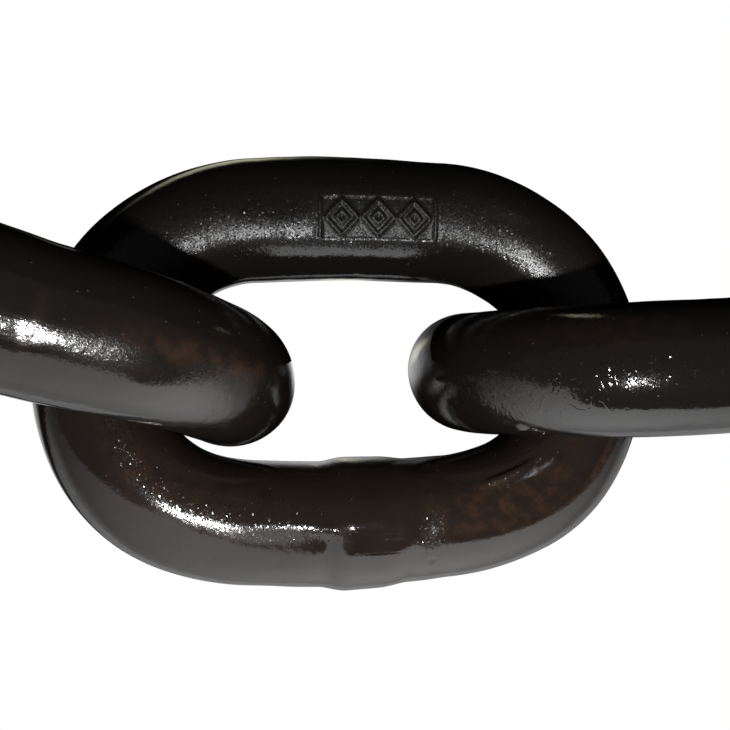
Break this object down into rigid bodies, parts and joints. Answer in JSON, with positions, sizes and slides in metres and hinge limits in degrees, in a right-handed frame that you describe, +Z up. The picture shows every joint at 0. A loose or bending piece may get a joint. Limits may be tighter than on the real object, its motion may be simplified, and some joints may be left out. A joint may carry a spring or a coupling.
{
  "type": "short-link lifting chain",
  "caption": "Length of heavy short-link lifting chain laid in a relaxed curve: oval forged links, each with a welded bar, black lacquer finish.",
  "frame": {"origin": "on the floor, under the middle of the length's bounding box", "axes": "+X along the length as it lies, +Z up from the floor, +Y to the side the welds of the backward-leaning links face"},
  "size_m": [0.9642, 0.1682, 0.0576],
  "materials": {
    "lacquered_steel": "glossy black-brown lacquer over forged alloy steel, thin enough to show scale and rust tints"
  },
  "bodies": {
    "link_01": {"link_01": "lacquered_steel"},
    "link_02": {"link_02": "lacquered_steel"},
    "link_03": {"link_03": "lacquered_steel"},
    "link_04": {"link_04": "lacquered_steel"},
    "link_05": {"link_05": "lacquered_steel"},
    "link_06": {"link_06": "lacquered_steel"},
    "link_07": {"link_07": "lacquered_steel"},
    "link_08": {"link_08": "lacquered_steel"},
    "link_09": {"link_09": "lacquered_steel"},
    "link_10": {"link_10": "lacquered_steel"},
    "link_11": {"link_11": "lacquered_steel"},
    "link_12": {"link_12": "lacquered_steel"},
    "link_13": {"link_13": "lacquered_steel"},
    "link_14": {"link_14": "lacquered_steel"},
    "link_15": {"link_15": "lacquered_steel"},
    "link_16": {"link_16": "lacquered_steel"}
  },
  "joints": [
    {"name": "swing_01_02", "type": "hinge", "parent": "link_02", "child": "link_01", "pos_m": [-0.41218, -0.05173, 0.02714], "axis": [0.183, -0.683, -0.7071], "range_deg": [-90, 90]},
    {"name": "swing_02_03", "type": "hinge", "parent": "link_03", "child": "link_02", "pos_m": [-0.3537, -0.03787, 0.02714], "axis": [0.2988, -0.6409, 0.7071], "range_deg": [-90, 90]},
    {"name": "swing_03_04", "type": "hinge", "parent": "link_04", "child": "link_03", "pos_m": [-0.29884, -0.01305, 0.02747], "axis": [-0.3368, 0.6076, 0.7193], "range_deg": [-90, 90]},
    {"name": "swing_04_05", "type": "hinge", "parent": "link_05", "child": "link_04", "pos_m": [-0.24683, 0.01736, 0.02714], "axis": [-0.2534, 0.6601, -0.7071], "range_deg": [-90, 90]},
    {"name": "swing_05_06", "type": "hinge", "parent": "link_06", "child": "link_05", "pos_m": [-0.19148, 0.04067, 0.02714], "axis": [0.1228, -0.6964, -0.7071], "range_deg": [-90, 90]},
    {"name": "swing_06_07", "type": "hinge", "parent": "link_07", "child": "link_06", "pos_m": [-0.13252, 0.05212, 0.02779], "axis": [0.0476, -0.6803, 0.7314], "range_deg": [-90, 90]},
    {"name": "swing_07_08", "type": "hinge", "parent": "link_08", "child": "link_07", "pos_m": [-0.07247, 0.05693, 0.02842], "axis": [-0.0057, 0.656, 0.7547], "range_deg": [-90, 90]},
    {"name": "swing_08_09", "type": "hinge", "parent": "link_08", "child": "link_09", "pos_m": [0.00753, 0.05763, 0.02842], "axis": [-0.0057, 0.656, 0.7547], "range_deg": [-75, 75]},
    {"name": "swing_09_10", "type": "hinge", "parent": "link_09", "child": "link_10", "pos_m": [0.06227, 0.03195, 0.02659], "axis": [-0.268, -0.6805, 0.682], "range_deg": [-90, 90]},
    {"name": "swing_10_11", "type": "hinge", "parent": "link_10", "child": "link_11", "pos_m": [0.11579, 0.0043, 0.02714], "axis": [-0.3155, -0.6328, -0.7071], "range_deg": [-90, 90]},
    {"name": "swing_11_12", "type": "hinge", "parent": "link_11", "child": "link_12", "pos_m": [0.17372, -0.01233, 0.02747], "axis": [0.2089, 0.6625, -0.7193], "range_deg": [-90, 90]},
    {"name": "swing_12_13", "type": "hinge", "parent": "link_12", "child": "link_13", "pos_m": [0.23378, -0.01354, 0.02714], "axis": [0.0432, 0.7058, 0.7071], "range_deg": [-90, 90]},
    {"name": "swing_13_14", "type": "hinge", "parent": "link_13", "child": "link_14", "pos_m": [0.2938, -0.00866, 0.02714], "axis": [0.0432, -0.7058, 0.7071], "range_deg": [-90, 90]},
    {"name": "swing_14_15", "type": "hinge", "parent": "link_14", "child": "link_15", "pos_m": [0.35357, -0.00133, 0.02714], "axis": [0.08, -0.7026, -0.7071], "range_deg": [-90, 90]},
    {"name": "swing_15_16", "type": "hinge", "parent": "link_15", "child": "link_16", "pos_m": [0.41367, -0.00429, 0.02714], "axis": [0.0185, 0.7069, -0.7071], "range_deg": [-90, 90]}
  ]
}
